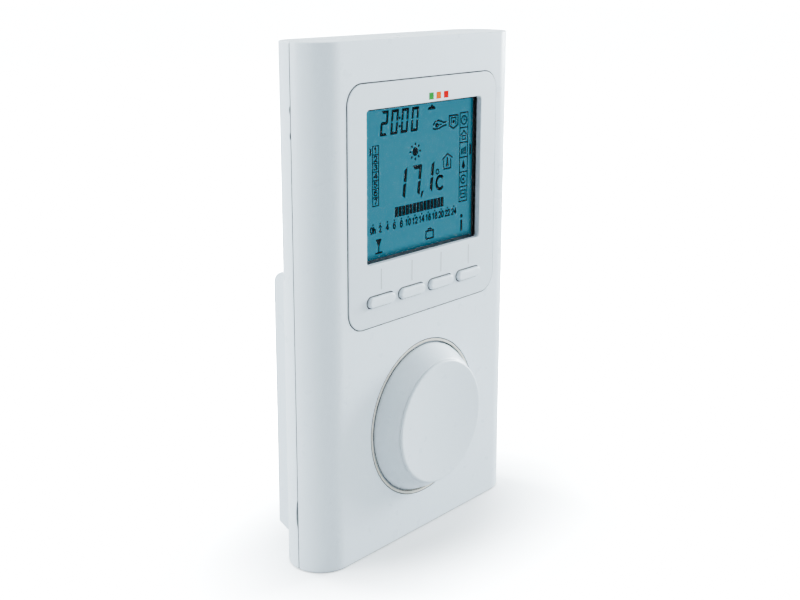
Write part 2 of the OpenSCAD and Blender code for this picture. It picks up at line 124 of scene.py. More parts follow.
class Shader:
    """A node material being built around one Principled shader."""

    def __init__(self, name):
        self.material = bpy.data.materials.new(name)
        self.material.use_nodes = True
        self.tree = self.material.node_tree
        self.surface = self.tree.nodes["Principled BSDF"]
        self.place = self.tree.nodes.new("ShaderNodeTexCoord").outputs["Object"]

    def node(self, kind, **settings):
        made = self.tree.nodes.new(kind)
        for key, value in settings.items():
            setattr(made, key, value)
        return made

    def link(self, source, target):
        self.tree.links.new(source, target)

    def value(self, socket, number):
        self.surface.inputs[socket].default_value = number

    def noise(self, scale, detail=2.0, stretch=(1, 1, 1)):
        made = self.node("ShaderNodeTexNoise")
        made.inputs["Scale"].default_value = scale
        made.inputs["Detail"].default_value = detail
        place = self.place
        if stretch != (1, 1, 1):
            mapping = self.node("ShaderNodeMapping")
            mapping.inputs["Scale"].default_value = stretch
            self.link(place, mapping.inputs["Vector"])
            place = mapping.outputs["Vector"]
        self.link(place, made.inputs["Vector"])
        return made.outputs["Fac"]

    def spread(self, source, low, high):
        made = self.node("ShaderNodeMapRange")
        made.inputs["From Min"].default_value = 0.3
        made.inputs["From Max"].default_value = 0.7
        made.inputs["To Min"].default_value = low
        made.inputs["To Max"].default_value = high
        self.link(source, made.inputs["Value"])
        return made.outputs["Result"]

    def blend(self, source, dark, light):
        made = self.node("ShaderNodeMix", data_type="RGBA")
        made.inputs["A"].default_value = (*dark, 1)
        made.inputs["B"].default_value = (*light, 1)
        self.link(source, made.inputs["Factor"])
        return made.outputs["Result"]

    def paint_crease_shade(self, tone):
        """Painted shade: a little darker and browner in narrow gaps, where shade falls."""
        open_sky = self.node("ShaderNodeAmbientOcclusion", samples=8)
        open_sky.inputs["Distance"].default_value = CREASE_SHADE_REACH
        depth = self.node("ShaderNodeMapRange")
        depth.inputs["From Min"].default_value = CREASE_SHADE_OPEN[0]
        depth.inputs["From Max"].default_value = CREASE_SHADE_OPEN[1]
        self.link(open_sky.outputs["AO"], depth.inputs["Value"])
        mixed = self.node("ShaderNodeMix", data_type="RGBA", blend_type="MULTIPLY")
        mixed.inputs["Factor"].default_value = 1.0
        self.link(tone, mixed.inputs["A"])
        self.link(self.blend(depth.outputs["Result"], CREASE_PAINTED_SHADE, (1, 1, 1)), mixed.inputs["B"])
        return mixed.outputs["Result"]

    def bump(self, source, depth, strength=1.0):
        made = self.node("ShaderNodeBump")
        made.inputs["Distance"].default_value = depth
        made.inputs["Strength"].default_value = strength
        self.link(source, made.inputs["Height"])
        self.link(made.outputs["Normal"], self.surface.inputs["Normal"])


def scaled(colour, factor):
    return [c * factor for c in colour]


def moulded(name, colour, rough, grain=0.004 * MM, spot=0.02, grain_scale=7000, coat=0.0,
            crease_shade=False, ior=1.45):
    """Moulded plastic: faint flow marks in its tone, uneven gloss, fine texture, and, when asked, painted
    shade in narrow gaps.
    """
    s = Shader(name)
    flow = s.noise(26, 3.0, (1, 1, 0.45))
    dark = scaled(colour, 1 - spot)
    light = [min(1.0, c * (1 + spot)) for c in colour]
    tone = s.blend(flow, dark, light)
    # painted shade in narrow gaps
    if crease_shade:
        tone = s.paint_crease_shade(tone)
    s.link(tone, s.surface.inputs["Base Color"])
    s.value("IOR", ior)
    s.link(s.spread(s.noise(240, 2.0), rough - 0.03, rough + 0.03), s.surface.inputs["Roughness"])
    s.bump(s.noise(grain_scale, 2.0), grain)
    s.value("Coat Weight", coat)
    s.value("Coat Roughness", 0.12)
    return s.material


def metal(name, colour, rough, stretch=(1, 1, 0.06)):
    """Plated or drawn metal with fine lines along its length."""
    s = Shader(name)
    lines = s.noise(5200, 3.0, stretch)
    s.link(s.blend(lines, scaled(colour, 0.86), colour), s.surface.inputs["Base Color"])
    s.link(s.spread(lines, rough - 0.06, rough + 0.08), s.surface.inputs["Roughness"])
    s.bump(lines, 0.002 * MM)
    s.value("Metallic", 1.0)
    return s.material


def clear_lens():
    """Clear acrylic, drawn nearly transparent so that the display stays legible."""
    s = Shader("lens_acrylic")
    tint = s.blend(s.noise(40), (0.004, 0.005, 0.006), (0.006, 0.008, 0.008))
    s.link(tint, s.surface.inputs["Base Color"])
    s.value("Roughness", 0.05)
    s.value("Alpha", 0.05)
    return s.material


def display_with_painted_light():
    """The liquid crystal cell, its teal painted light: a glow standing in for the lit cell, with painted
    shade making it dimmer beside the gasket at its right and below.
    """
    s = Shader("lcd_teal_painted_glow")
    split = s.node("ShaderNodeSeparateXYZ")
    s.link(s.place, split.inputs["Vector"])

    def shade_from_edge(axis, edge, inwards):
        depth = s.node("ShaderNodeMapRange", interpolation_type="SMOOTHSTEP")
        depth.inputs["From Min"].default_value = edge
        depth.inputs["From Max"].default_value = edge + inwards * LCD_SHADE_FADE
        s.link(split.outputs[axis], depth.inputs["Value"])
        return depth.outputs["Result"]

    edge = s.node("ShaderNodeMath", operation="MULTIPLY")
    s.link(shade_from_edge("X", VIEW_HALF_W, -1), edge.inputs[0])
    s.link(shade_from_edge("Z", WINDOW_Z - VIEW_HALF_H, 1), edge.inputs[1])
    painted_glow = s.blend(edge.outputs[0], LCD_PAINTED_EDGE_SHADE, LCD_PAINTED_GLOW)
    cloud = s.node("ShaderNodeMix", data_type="RGBA", blend_type="MULTIPLY")
    cloud.inputs["Factor"].default_value = 1.0
    s.link(painted_glow, cloud.inputs["A"])
    s.link(s.blend(s.noise(60, 3.0), (0.96, 0.97, 0.97), (1, 1, 1)), cloud.inputs["B"])
    s.link(cloud.outputs["Result"], s.surface.inputs["Emission Color"])
    s.value("Emission Strength", 1.0)
    s.value("Base Color", (0.0, 0.01, 0.015, 1))
    s.value("IOR", 1.0)
    s.link(s.spread(s.noise(400), 0.50, 0.56), s.surface.inputs["Roughness"])
    return s.material


def circuit_board():
    """Green solder mask over faint copper tracks."""
    s = Shader("board_mask")
    tracks = s.node("ShaderNodeTexBrick")
    tracks.inputs["Scale"].default_value = 240
    tracks.inputs["Mortar Size"].default_value = 0.07
    tracks.inputs["Color1"].default_value = (0.035, 0.19, 0.10, 1)
    tracks.inputs["Color2"].default_value = (0.045, 0.22, 0.11, 1)
    tracks.inputs["Mortar"].default_value = (0.08, 0.33, 0.17, 1)
    turned = s.node("ShaderNodeMapping")
    turned.inputs["Rotation"].default_value = (math.radians(90), 0, 0)
    s.link(s.place, turned.inputs["Vector"])
    s.link(turned.outputs["Vector"], tracks.inputs["Vector"])
    s.link(tracks.outputs["Color"], s.surface.inputs["Base Color"])
    s.link(s.spread(s.noise(900), 0.25, 0.4), s.surface.inputs["Roughness"])
    s.bump(tracks.outputs["Fac"], 0.02 * MM, 0.6)
    return s.material


def cell_wrap():
    """A plain printed wrap: a dark body with a pale band and bare ends."""
    s = Shader("cell_wrap")
    split = s.node("ShaderNodeSeparateXYZ")
    s.link(s.place, split.inputs["Vector"])
    bands = s.node("ShaderNodeValToRGB")
    span = s.node("ShaderNodeMapRange")
    lo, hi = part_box("battery_1")
    span.inputs["From Min"].default_value = lo.z
    span.inputs["From Max"].default_value = hi.z
    s.link(split.outputs["Z"], span.inputs["Value"])
    s.link(span.outputs["Result"], bands.inputs["Fac"])
    ramp = bands.color_ramp
    ramp.interpolation = "CONSTANT"
    bare_end, wrap, band = (0.60, 0.61, 0.63, 1), (0.012, 0.04, 0.12, 1), (0.50, 0.53, 0.56, 1)
    ramp.elements[0].color = bare_end
    ramp.elements[1].position = 0.96
    ramp.elements[1].color = bare_end
    for at, colour in ((0.03, wrap), (0.30, band), (0.36, wrap)):
        ramp.elements.new(at).color = colour
    s.link(bands.outputs["Color"], s.surface.inputs["Base Color"])
    s.link(s.spread(s.noise(600), 0.30, 0.36), s.surface.inputs["Roughness"])
    s.value("Metallic", 0.2)
    return s.material


# The display's view opening, and how far the painted shade at its edges reaches.
VIEW_HALF_W, VIEW_HALF_H, LCD_SHADE_FADE = 22.6 * MM, 18.95 * MM, 1.9 * MM
# Painted shade in narrow gaps: how far to look for them, how closed they must be, and the shade colour.
CREASE_SHADE_REACH = 1.2 * MM
CREASE_SHADE_OPEN = (0.28, 0.72)
CREASE_PAINTED_SHADE = (0.13, 0.11, 0.09)
# Painted glow standing in for the lit display cell, and the painted shade it fades to at its right and
# bottom edges.
LCD_PAINTED_GLOW = (0.030, 0.250, 0.372)
LCD_PAINTED_EDGE_SHADE = (0.008, 0.060, 0.095)
WHITE = (0.720, 0.806, 0.875)

by_slot = {
    # crease_shade=True adds painted shade in narrow gaps.
    "shell_white": moulded("shell_plastic", WHITE, 0.30, spot=0.006, crease_shade=True),
    "knob_white": moulded("knob_plastic", scaled(WHITE, 0.945), 0.30, spot=0.006, crease_shade=True),
    "key_white": moulded("key_plastic", scaled(WHITE, 0.955), 0.32, spot=0.006, crease_shade=True),
    "clear_lens": clear_lens(),
    "black_foam": moulded("gasket_foam", (0.006, 0.006, 0.007), 0.85, 0.05 * MM, 0.2, 2400),
    "lcd_glass": display_with_painted_light(),
    "light_guide": moulded("light_guide", (0.60, 0.80, 0.90), 0.3),
    "trim_beige": moulded("trim_plastic", (0.60, 0.59, 0.53), 0.35, spot=0.02, crease_shade=True),
    "natural_plastic": moulded("natural_plastic", (0.62, 0.61, 0.56), 0.5, 0.01 * MM),
    "conductive_rubber": moulded("zebra_rubber", (0.06, 0.06, 0.065), 0.7, 0.03 * MM, 0.3, 900),
    "led_resin": moulded("led_resin", (0.85, 0.84, 0.62), 0.2),
    "board_green": circuit_board(),
    "chip_black": moulded("chip_resin", (0.02, 0.02, 0.022), 0.55, 0.01 * MM, 0.2),
    "tinned_steel": metal("tinned_steel", (0.68, 0.69, 0.70), 0.30),
    "capacitor_can": metal("capacitor_can", (0.75, 0.76, 0.79), 0.24),
    "sensor_bead": moulded("sensor_bead", (0.45, 0.20, 0.05), 0.25, coat=0.4),
    "cell_wrap": cell_wrap(),
}

# The fascia's plastic, with painted shade in narrow gaps.
FASCIA_PLASTIC = moulded("fascia_plastic", scaled(WHITE, 0.86), 0.42, spot=0.006, crease_shade=True)

# ------------------------------------------------------------------ mesh helpers


def add_object(name, bm):
    mesh = bpy.data.meshes.new(name)
    bm.to_mesh(mesh)
    bm.free()
    made = bpy.data.objects.new(name, mesh)
    bpy.context.scene.collection.objects.link(made)
    return made


def bare_mesh(node):
    """A welded copy of a CAD node, with flat areas made into single faces."""
    bm = bmesh.new()
    source = nodes[node].data
    corners = [bm.verts.new(v.co) for v in source.vertices]
    for face in source.polygons:
        bm.faces.new([corners[i] for i in face.vertices])
    bmesh.ops.remove_doubles(bm, verts=bm.verts, dist=1e-7)
    bmesh.ops.dissolve_limit(bm, angle_limit=math.radians(0.3), verts=bm.verts, edges=bm.edges)
    return bm


def round_edges(bm, chosen, width, steps):
    """Rounds the sharp edges whose two ends both satisfy chosen."""
    edges = [
        e for e in bm.edges
        if e.is_manifold and e.calc_face_angle() > math.radians(35)
        and all(chosen(v.co) for v in e.verts)
    ]
    bmesh.ops.bevel(bm, geom=edges, offset=width, offset_type="OFFSET", segments=steps,
                    profile=0.5, affect="EDGES", clamp_overlap=True)


def finish_piece(obj, material, body, node=None, sharp=30):
    """Smooth shading with crisp edges kept, a material and a body, with the CAD node it stands for
    hidden.
    """
    mesh = obj.data
    mesh.materials.clear()
    mesh.materials.append(material)
    bm = bmesh.new()
    bm.from_mesh(mesh)
    bmesh.ops.recalc_face_normals(bm, faces=bm.faces)
    for face in bm.faces:
        face.smooth = True
        face.material_index = 0
    for edge in bm.edges:
        edge.smooth = edge.is_manifold and edge.calc_face_angle() < math.radians(sharp)
    bm.to_mesh(mesh)
    bm.free()
    weighted = obj.modifiers.new("even_normals", "WEIGHTED_NORMAL")
    weighted.keep_sharp = True
    weighted.weight = 50
    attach(obj, body)
    if node:
        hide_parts(node)
    return obj


def keep_shared(obj, tool):
    """Cuts obj down to what it shares with tool, and removes tool."""
    cut = obj.modifiers.new("cut", "BOOLEAN")
    cut.object, cut.operation, cut.solver = tool, "INTERSECT", "EXACT"
    bpy.context.view_layer.update()
    made = bpy.data.meshes.new_from_object(obj.evaluated_get(bpy.context.evaluated_depsgraph_get()))
    obj.modifiers.clear()
    obj.data = made
    bpy.data.objects.remove(tool)


def near(a, b):
    return abs(a - b) < NEAR


# ------------------------------------------------------------------ housing

FRONT_R = 8.6 * MM
SEAM_Y = FRONT_Y + FRONT_R
REAR_R = cover_hi.y - SEAM_Y
RIM_ROUND = 0.32 * MM
BESIDE = 1 * MM
FASCIA_CORNER = 5.4 * MM


def on_outside(co, radius, side):
    """Whether a point lies on the outside of one half of the housing, in plan."""
    across, deep = abs(co.x) - (HALF_W - radius), side * (co.y - SEAM_Y)
    if deep < -NEAR:
        return False
    return near(math.hypot(max(across, 0), deep), radius) or (across <= 0 and near(deep, radius))


def housing_half(node, radius, side):
    bm = bare_mesh(node)
    for level in (0.0, HEIGHT):
        on_rim = lambda co: near(co.z, level) and on_outside(co, radius, side)
        round_edges(bm, on_rim, RIM_ROUND, 4)
    return bm


def add_front_shell():
    bm = housing_half("front_shell", FRONT_R, -1)
    in_recess = lambda co: near(math.hypot(co.x, co.z - KNOB_Z), RECESS_R)
    round_edges(bm, lambda co: near(co.y, FRONT_Y) and in_recess(co), 0.15 * MM, 3)
    in_pocket = lambda co: (abs(co.x) < fascia_hi.x + BESIDE
                            and fascia_lo.z - BESIDE < co.z < fascia_hi.z + BESIDE)
    round_edges(bm, lambda co: near(co.y, FRONT_Y) and in_pocket(co), 0.12 * MM, 3)
    finish_piece(add_object("front_shell_moulding", bm), by_slot["shell_white"], "housing",
                 "front_shell")


def add_back_cover():
    bm = housing_half("back_cover", REAR_R, 1)
    round_edges(bm, lambda co: near(co.y, cover_hi.y), 0.2 * MM, 2)
    finish_piece(add_object("back_cover_moulding", bm), by_slot["shell_white"], "housing",
                 "back_cover")


def add_fascia():
    bm = bare_mesh("display_fascia")
    front = lambda co: near(co.y, FASCIA_Y)
    half_w, mid_z = fascia_hi.x, (fascia_lo.z + fascia_hi.z) / 2
    half_h = fascia_hi.z - mid_z

    def outer(co):
        across, upward = abs(co.x), abs(co.z - mid_z)
        in_corner = across > half_w - FASCIA_CORNER and upward > half_h - FASCIA_CORNER
        return in_corner or near(across, half_w) or near(upward, half_h)

    key_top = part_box("button_1")[1].z + 0.5 * MM
    round_edges(bm, lambda co: front(co) and outer(co), 0.16 * MM, 4)
    round_edges(bm, lambda co: front(co) and not outer(co) and co.z > key_top, 0.18 * MM, 3)
    round_edges(bm, lambda co: front(co) and not outer(co) and co.z <= key_top, 0.08 * MM, 2)
    finish_piece(add_object("fascia_moulding", bm), FASCIA_PLASTIC, "housing",
                 "display_fascia")


RECESS_R = ring_hi.x + 0.25 * MM
add_front_shell()
add_back_cover()
add_fascia()

# ------------------------------------------------------------------ keys


def add_key(i):
    node = f"button_{i}"
    lo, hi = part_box(node)
    bm = bare_mesh(node)
    round_edges(bm, lambda co: near(co.y, lo.y), 0.55 * MM, 6)
    finish_piece(add_object(f"key_cap_{i}", bm), by_slot["key_white"], f"key_{i}", node)


for number in range(1, 5):
    add_key(number)

# ------------------------------------------------------------------ knob


def arc(cx, cy, radius, start, end, steps):
    """Points on an arc in the (radius, depth) plane, angles in degrees."""
    return [
        (cx + radius * math.cos(math.radians(start + (end - start) * i / steps)),
         cy + radius * math.sin(math.radians(start + (end - start) * i / steps)))
        for i in range(steps + 1)
    ]


KNOB_FACE_R = 17.05
KNOB_TURNS = 144


def knob_profile():
    """Outside of the knob in mm: radius and height above the skirt, rim to middle."""
    rim, top, face_r = KNOB_R / MM, (knob_hi.y - knob_lo.y) / MM, KNOB_FACE_R
    edge, swell, dish, skirt = 0.6, 0.20, 0.8, 0.6
    points = [(rim - 0.15, 0.0), (rim, 0.15), (rim, skirt)]
    start, end = Vector((rim, skirt)), Vector((face_r - 0.02, top - edge))
    for i in range(1, 13):
        t = i / 12
        flat = start.lerp(end, t)
        points.append((flat.x + swell * math.sin(math.pi * t), flat.y))
    points += arc(face_r - edge, top - edge, edge, 12, 88, 9)
    inner = face_r - edge
    radii = (15.8, 15, 13.5, 12, 10, 8, 6, 4, 2)
    return points + [(r, top - dish * (1 - (r / inner) ** 2)) for r in radii]


def turned_knob():
    """The knob's outside, turned about its axis and closed at the back."""
    profile = knob_profile()
    bm = bmesh.new()
    rings = []
    for radius, height in profile:
        rings.append([
            bm.verts.new((radius * MM * math.cos(2 * math.pi * i / KNOB_TURNS), knob_hi.y - height * MM,
                          KNOB_Z + radius * MM * math.sin(2 * math.pi * i / KNOB_TURNS)))
            for i in range(KNOB_TURNS)
        ])
    for a, b in zip(rings, rings[1:]):
        for i in range(KNOB_TURNS):
            j = (i + 1) % KNOB_TURNS
            bm.faces.new((a[i], a[j], b[j], b[i]))
    bm.faces.new(rings[0])
    middle = bm.verts.new((0, knob_hi.y - profile[-1][1] * MM, KNOB_Z))
    for i in range(KNOB_TURNS):
        bm.faces.new((rings[-1][i], rings[-1][(i + 1) % KNOB_TURNS], middle))
    bmesh.ops.recalc_face_normals(bm, faces=bm.faces)
    return add_object("knob_moulding", bm)


def grown_knob():
    """The CAD knob with its hollow, ribs and boss kept and its skin grown outwards."""
    bm = bare_mesh("knob")
    bmesh.ops.triangulate(bm, faces=bm.faces)
    skin_depth, grow_by, flank_height = 0.5 * MM, 1.5 * MM, 6 * MM
    depth, taper = knob_hi.y - knob_lo.y, KNOB_R - KNOB_FACE_R * MM
    for v in bm.verts:
        r = math.hypot(v.co.x, v.co.z - KNOB_Z)
        height = knob_hi.y - v.co.y
        skin = KNOB_R - taper * max(0.0, height - 0.8 * MM) / (depth - 2.0 * MM)
        on_face = v.co.y < knob_lo.y + skin_depth
        if on_face or (r > skin - skin_depth and height < flank_height):
            if r > 1e-6:
                grow = 1 + grow_by / r if r > 14 * MM else 1
                v.co.x *= grow
                v.co.z = KNOB_Z + (v.co.z - KNOB_Z) * grow
            if on_face:
                v.co.y -= grow_by
        if near(v.co.y, knob_hi.y) and r > KNOB_R - skin_depth:
            v.co.y += 0.5 * MM
    return add_object("knob_hollow", bm)


def add_knob():
    """What the turned outside and the grown CAD knob share: hollow, with a fair skin."""
    outside = turned_knob()
    keep_shared(outside, grown_knob())
    finish_piece(outside, by_slot["knob_white"], "knob_group", "knob", sharp=50)


add_knob()

# ------------------------------------------------------------------ bracket


def add_bracket():
    bm = bare_mesh("wall_bracket")
    side_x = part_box("wall_bracket")[1].x
    round_edges(bm, lambda co: near(abs(co.x), side_x) and co.y > cover_hi.y, 0.5 * MM, 4)
    finish_piece(add_object("bracket_moulding", bm), by_slot["shell_white"], "bracket",
                 "wall_bracket")


add_bracket()

# ------------------------------------------------------------------ print and display


def oval(cx, cz, rx, rz, steps=14):
    return [(cx + rx * math.cos(2 * math.pi * i / steps), cz + rz * math.sin(2 * math.pi * i / steps))
            for i in range(steps + 1)]


PEN_FIGURES = {
    "0": [oval(0.5, 0.5, 0.45, 0.5)],
    "1": [[(0.15, 0.75), (0.55, 1.0), (0.55, 0.0)]],
    "2": [[(0.05, 0.74), (0.2, 0.93), (0.5, 1.0), (0.8, 0.92), (0.93, 0.7), (0.75, 0.42),
           (0.05, 0.0), (0.95, 0.0)]],
    "3": [[(0.08, 0.85), (0.5, 1.0), (0.88, 0.78), (0.5, 0.54), (0.93, 0.28), (0.5, 0.0), (0.05, 0.17)]],
    "4": [[(0.74, 0.0), (0.74, 1.0), (0.02, 0.3), (1.0, 0.3)]],
    "5": [[(0.9, 1.0), (0.2, 1.0), (0.12, 0.55), (0.55, 0.62), (0.92, 0.34), (0.5, 0.0), (0.05, 0.13)]],
    "6": [[(0.88, 0.9), (0.5, 1.0), (0.16, 0.78), (0.06, 0.4)], oval(0.5, 0.31, 0.42, 0.31)],
    "7": [[(0.05, 1.0), (0.95, 1.0), (0.4, 0.0)]],
    "8": [oval(0.5, 0.76, 0.36, 0.24), oval(0.5, 0.27, 0.44, 0.27)],
    "h": [[(0.1, 1.0), (0.1, 0.0)], [(0.1, 0.42), (0.45, 0.65), (0.85, 0.5), (0.85, 0.0)]],
}


SEGMENTS = {"0": "abcdef", "1": "bc", "2": "abged", "7": "abc"}


class Ink:
    """Thin flat shapes on a plane facing -Y. Places are (x, z) in mm from origin."""

    def __init__(self, x, z, y_front, y_back):
        self.bm = bmesh.new()
        self.x, self.z = x, z
        self.y_front, self.y_back = y_front, y_back

    def shape(self, points):
        area = sum(a[0] * b[1] - b[0] * a[1] for a, b in zip(points, points[1:] + points[:1]))
        points = points if area > 0 else points[::-1]
        place = [(self.x + px * MM, self.z + pz * MM) for px, pz in points]
        front = [self.bm.verts.new((px, self.y_front, pz)) for px, pz in place]
        back = [self.bm.verts.new((px, self.y_back, pz)) for px, pz in place]
        self.bm.faces.new(front)
        self.bm.faces.new(back[::-1])
        for i in range(len(place)):
            j = (i + 1) % len(place)
            self.bm.faces.new((front[j], front[i], back[i], back[j]))

    def stroke(self, points, width):
        """A line of even width through the points, with square ends."""
        for (ax, az), (bx, bz) in zip(points, points[1:]):
            length = math.hypot(bx - ax, bz - az) or 1
            ux, uz = (bx - ax) / length, (bz - az) / length
            h = width / 2
            self.shape([
                (ax - ux * h * 0.6 - uz * h, az - uz * h * 0.6 + ux * h),
                (bx + ux * h * 0.6 - uz * h, bz + uz * h * 0.6 + ux * h),
                (bx + ux * h * 0.6 + uz * h, bz + uz * h * 0.6 - ux * h),
                (ax - ux * h * 0.6 + uz * h, az - uz * h * 0.6 - ux * h),
            ])

    def disc(self, x, z, radius, tall=1.0, steps=20):
        self.shape([(x + radius * math.cos(2 * math.pi * i / steps),
                     z + radius * tall * math.sin(2 * math.pi * i / steps)) for i in range(steps)])

    def ring(self, x, z, radius, width, start=0, end=360, tall=1.0, steps=16):
        self.stroke([(x + radius * math.cos(math.radians(start + (end - start) * i / steps)),
                      z + radius * tall * math.sin(math.radians(start + (end - start) * i / steps)))
                     for i in range(steps + 1)], width)

    def frame_box(self, x0, z0, x1, z1, width):
        self.stroke([(x0, z0), (x1, z0), (x1, z1), (x0, z1), (x0, z0)], width)

    def bar(self, x, z, figure, width, height, t, slant, g):
        """A seven-segment figure with its lower left corner at (x, z), its segments
        t thick and g clear of the corners."""
        mid = height / 2
        ends = {
            "a": ((g, height), (width - g, height)), "g": ((g, mid), (width - g, mid)),
            "d": ((g, 0), (width - g, 0)), "f": ((0, mid + g), (0, height - g)),
            "b": ((width, mid + g), (width, height - g)), "e": ((0, g), (0, mid - g)),
            "c": ((width, g), (width, mid - g)),
        }
        inside = {
            "a": (0, -1), "g": (0, 0), "d": (0, 1),
            "f": (1, 0), "b": (-1, 0), "e": (1, 0), "c": (-1, 0),
        }
        for name in SEGMENTS[figure]:
            (ax, az), (bx, bz) = ends[name]
            ix, iz = inside[name]
            if name == "g":
                points = [(ax, az), (ax + t / 2, az + t / 2), (bx - t / 2, bz + t / 2), (bx, bz),
                          (bx - t / 2, bz - t / 2), (ax + t / 2, az - t / 2)]
            elif name in "ad":
                points = [(ax, az), (bx, bz), (bx - t, bz + iz * t), (ax + t, az + iz * t)]
            else:
                trim_low = t * 0.7 if name in "ec" else t * 0.3
                trim_high = t * 0.7 if name in "fb" else t * 0.3
                points = [(ax, az), (ax, bz), (ax + ix * t, bz - trim_high), (ax + ix * t, az + trim_low)]
            self.shape([(x + px + (pz - mid) * slant, z + pz) for px, pz in points])

    def figures(self, x, z, text, width, height, thick):
        """Small round figures drawn with a pen, centred on x and standing on z."""
        pitch = width * 1.32
        x -= (pitch * len(text) - (pitch - width)) / 2
        for char in text:
            for line in PEN_FIGURES[char]:
                self.stroke([(x + px * width, z + pz * height) for px, pz in line], thick)
            x += pitch

    def make(self, name, material):
        made = add_object(name, self.bm)
        made.data.materials.append(material)
        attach(made, "housing")
        return made


PICTURE_X, PICTURE_Z = 0.6 * MM, WINDOW_Z - 0.14 * MM
INK_THICK = 0.05 * MM
PRINT_PROUD = 0.02 * MM


def draw_display():
    """The display's picture: generic figures and icons on the lit cell."""
    ink = Ink(PICTURE_X, PICTURE_Z, lcd_lo.y - INK_THICK, lcd_lo.y)
    # clock
    for x, char in ((-16.15, "2"), (-12.2, "0"), (-8.2, "0"), (-4.15, "0")):
        ink.bar(x, 12.35, char, 2.75, 6.3, 0.74, 0.10, 0.06)
    for z in (14.2, 16.35):
        ink.disc(-8.85, z, 0.36)
    # cursor for the coloured marks
    ink.shape([(2.5, 17.35), (5.6, 17.35), (5.5, 17.95), (4.7, 18.25), (4.2, 18.75), (3.7, 18.25),
               (2.7, 17.95)])
    # hand
    ink.stroke([(4.8, 13.2), (5.7, 14.0), (6.9, 14.25), (8.2, 13.9), (9.2, 13.5), (10.4, 13.6)], 0.42)
    ink.stroke([(4.7, 12.3), (5.6, 12.0), (7.2, 12.05), (8.6, 12.55), (10.3, 12.75)], 0.42)
    ink.disc(6.35, 13.0, 0.72, 0.85)
    ink.stroke([(6.7, 13.15), (8.3, 13.1)], 0.30)
    # plate with a keyhole
    ink.stroke([(11.6, 12.4), (11.6, 15.0), (15.4, 15.0), (15.4, 12.4), (13.5, 11.5), (11.6, 12.4)], 0.42)
    ink.stroke([(12.5, 12.6), (12.5, 14.4), (14.5, 14.4), (14.5, 12.6)], 0.34)
    ink.disc(13.5, 13.3, 0.5)
    # menu column with its cursor
    left, right, top, pitch = 16.35, 19.85, 15.35, 4.05
    for i in range(7):
        ink.stroke([(left, top - i * pitch), (right, top - i * pitch)], 0.34)
    for x in (left, right):
        ink.stroke([(x, top), (x, top - 6 * pitch)], 0.30)
    mid = (left + right) / 2
    centre = lambda i: top - (i + 0.5) * pitch
    ink.ring(mid, centre(0), 1.15, 0.34)
    ink.stroke([(mid, centre(0) + 0.8), (mid, centre(0)), (mid + 0.6, centre(0))], 0.28)
    ink.stroke([(mid - 1.3, centre(1)), (mid, centre(1) + 1.2), (mid + 1.3, centre(1))], 0.34)
    ink.frame_box(mid - 0.8, centre(1) - 1.2, mid + 0.8, centre(1) - 0.2, 0.3)
    for k in (-0.9, -0.3, 0.3, 0.9):
        ink.stroke([(mid + k, centre(2) - 1.1), (mid + k, centre(2) + 0.5 + 0.3 * k)], 0.36)
    ink.shape([(mid, centre(3) + 1.4), (mid + 0.75, centre(3) - 0.5), (mid, centre(3) - 1.3),
               (mid - 0.75, centre(3) - 0.5)])
    ink.ring(mid, centre(4), 1.1, 0.36, 30, 330)
    ink.disc(mid, centre(4), 0.42)
    ink.frame_box(mid - 1.0, centre(5) - 1.0, mid + 1.0, centre(5) + 1.0, 0.32)
    ink.stroke([(mid - 0.5, centre(5)), (mid + 0.5, centre(5))], 0.4)
    ink.shape([(20.75, 3.4), (20.75, 6.7), (21.45, 6.2), (21.45, 3.9)])
    # days with their cursor
    left, right, top, pitch = -19.25, -17.0, 10.15, 2.17
    for i in range(8):
        ink.stroke([(left, top - i * pitch), (right, top - i * pitch)], 0.26)
    for x in (left, right):
        ink.stroke([(x, top), (x, top - 7 * pitch)], 0.26)
    for i in range(7):
        ink.figures((left + right) / 2, top - (i + 1) * pitch + 0.45, str(i + 1), 1.25, 1.35, 0.34)
    ink.shape([(-20.35, 7.75), (-20.35, 9.85), (-19.8, 9.5), (-19.8, 8.1)])
    # sun
    ink.disc(-2.55, 7.05, 1.15)
    for i in range(8):
        a = math.radians(45 * i)
        ink.stroke([(-2.55 + 1.75 * math.cos(a), 7.05 + 1.75 * math.sin(a)),
                    (-2.55 + 2.15 * math.cos(a), 7.05 + 2.15 * math.sin(a))], 0.5)
    # temperature
    ink.bar(-10.45, -4.75, "1", 4.3, 8.2, 1.10, 0.12, 0.08)
    ink.bar(-4.2, -4.75, "7", 4.0, 8.2, 1.10, 0.12, 0.08)
    ink.shape([(0.15, -3.7), (1.0, -3.7), (0.2, -5.35), (-0.3, -5.35)])
    ink.bar(1.0, -4.5, "1", 4.0, 8.2, 1.10, 0.12, 0.08)
    ink.ring(6.75, 0.6, 0.62, 0.34)
    ink.ring(7.9, -2.45, 1.55, 0.80, 48, 312, 1.12, 14)
    # house with a thermometer
    ink.stroke([(8.9, 3.55), (11.0, 4.95), (13.1, 3.75)], 0.40)
    ink.stroke([(9.45, 3.3), (9.45, 0.95), (12.45, 0.95), (12.45, 3.4)], 0.36)
    ink.shape([(10.75, 4.0), (11.25, 4.0), (11.35, 2.4), (11.6, 1.9), (11.3, 1.4), (10.7, 1.4),
               (10.4, 1.9), (10.65, 2.4)])
    # bars of the day's programme
    for i in range(14):
        x = -10.65 + i * 1.452
        ink.shape([(x, -9.15), (x + 1.26, -9.15), (x + 1.26, -6.5), (x, -6.5)])
    # hour scale
    for i in range(13):
        x = -19.15 + i * 2.765
        ink.shape([(x - 0.22, -10.05), (x + 0.22, -10.05), (x + 0.22, -9.6), (x - 0.22, -9.6)])
        text = "0h" if i == 0 else str(2 * i)
        ink.figures(x, -12.0, text, 0.88, 1.6, 0.38)
